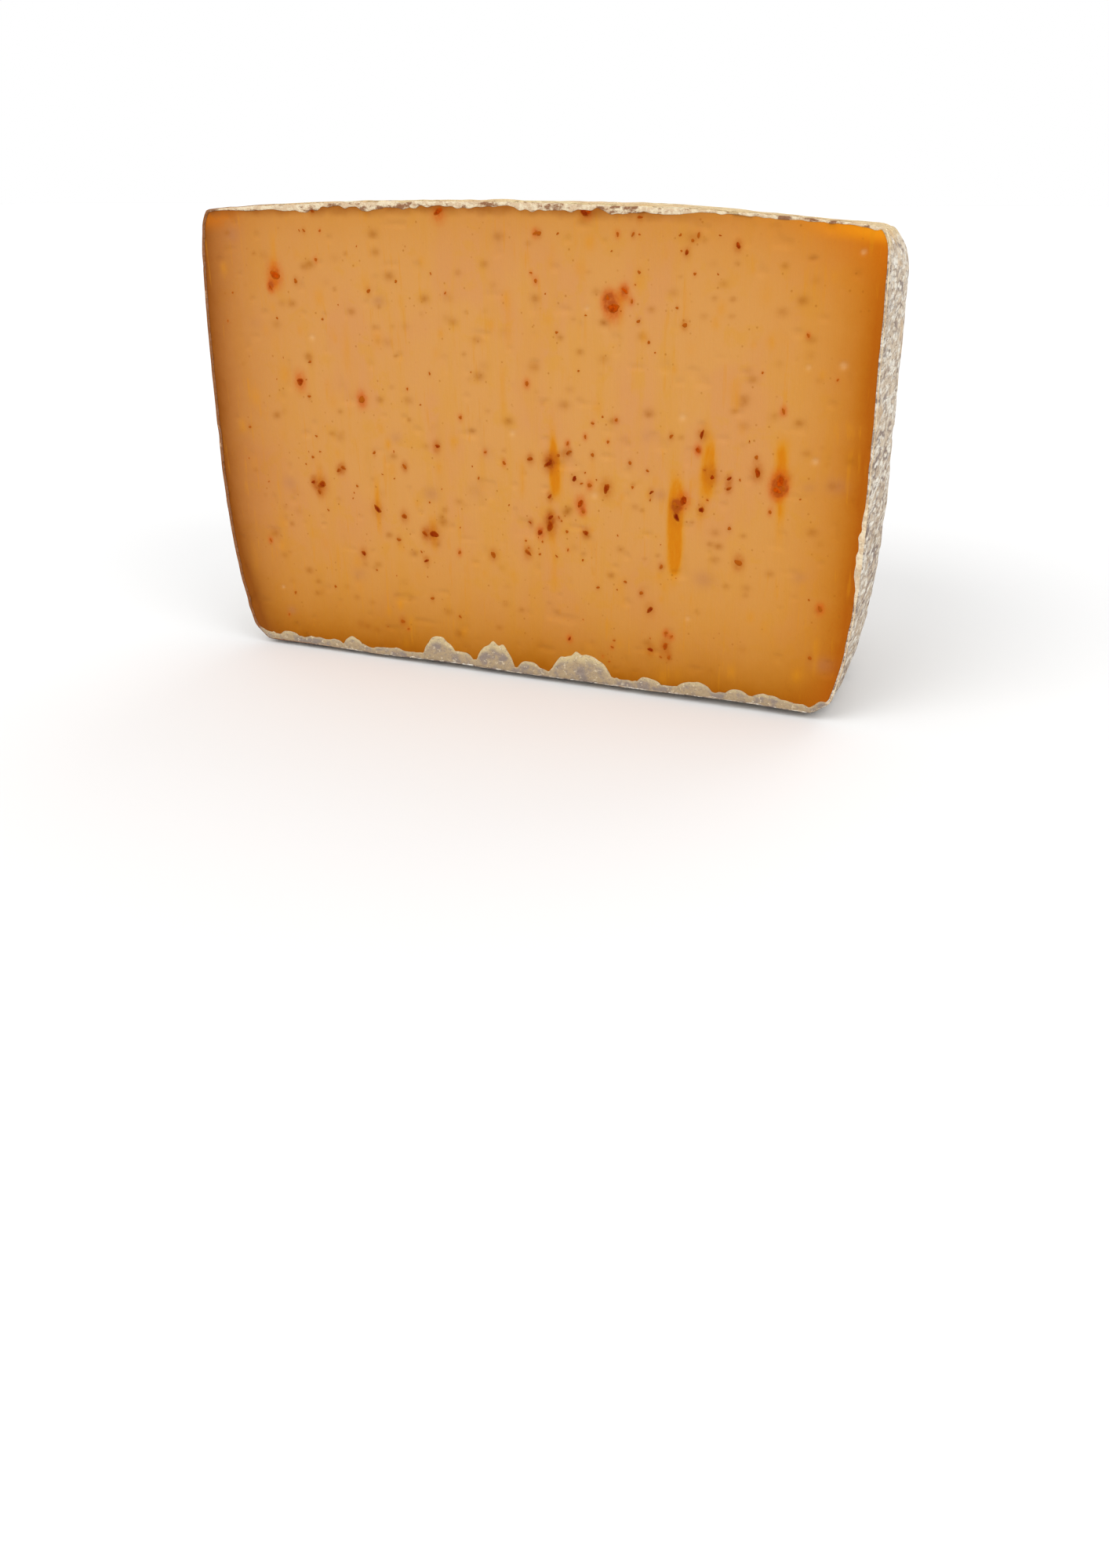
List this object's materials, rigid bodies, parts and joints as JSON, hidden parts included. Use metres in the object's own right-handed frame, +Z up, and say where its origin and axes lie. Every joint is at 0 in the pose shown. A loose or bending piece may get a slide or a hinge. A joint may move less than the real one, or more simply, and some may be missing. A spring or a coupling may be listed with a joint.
{
  "type": "cheese wedge",
  "caption": "Half block of firm chilli cheese with a natural mottled rind, cut face forward, resting on its flat base.",
  "frame": {"origin": "middle of the footprint's box on the resting surface, under the base", "axes": "+Z up, +X along the width of the cut face, and the cut face looks along -Y, so the back of the rind is at +Y"},
  "size_m": [0.2, 0.1, 0.1321],
  "materials": {
    "cheese": "satin, slightly oily cut paste with a dry matt rind"
  },
  "bodies": {
    "root": {"cheese_wedge": "cheese"}
  },
  "joints": []
}
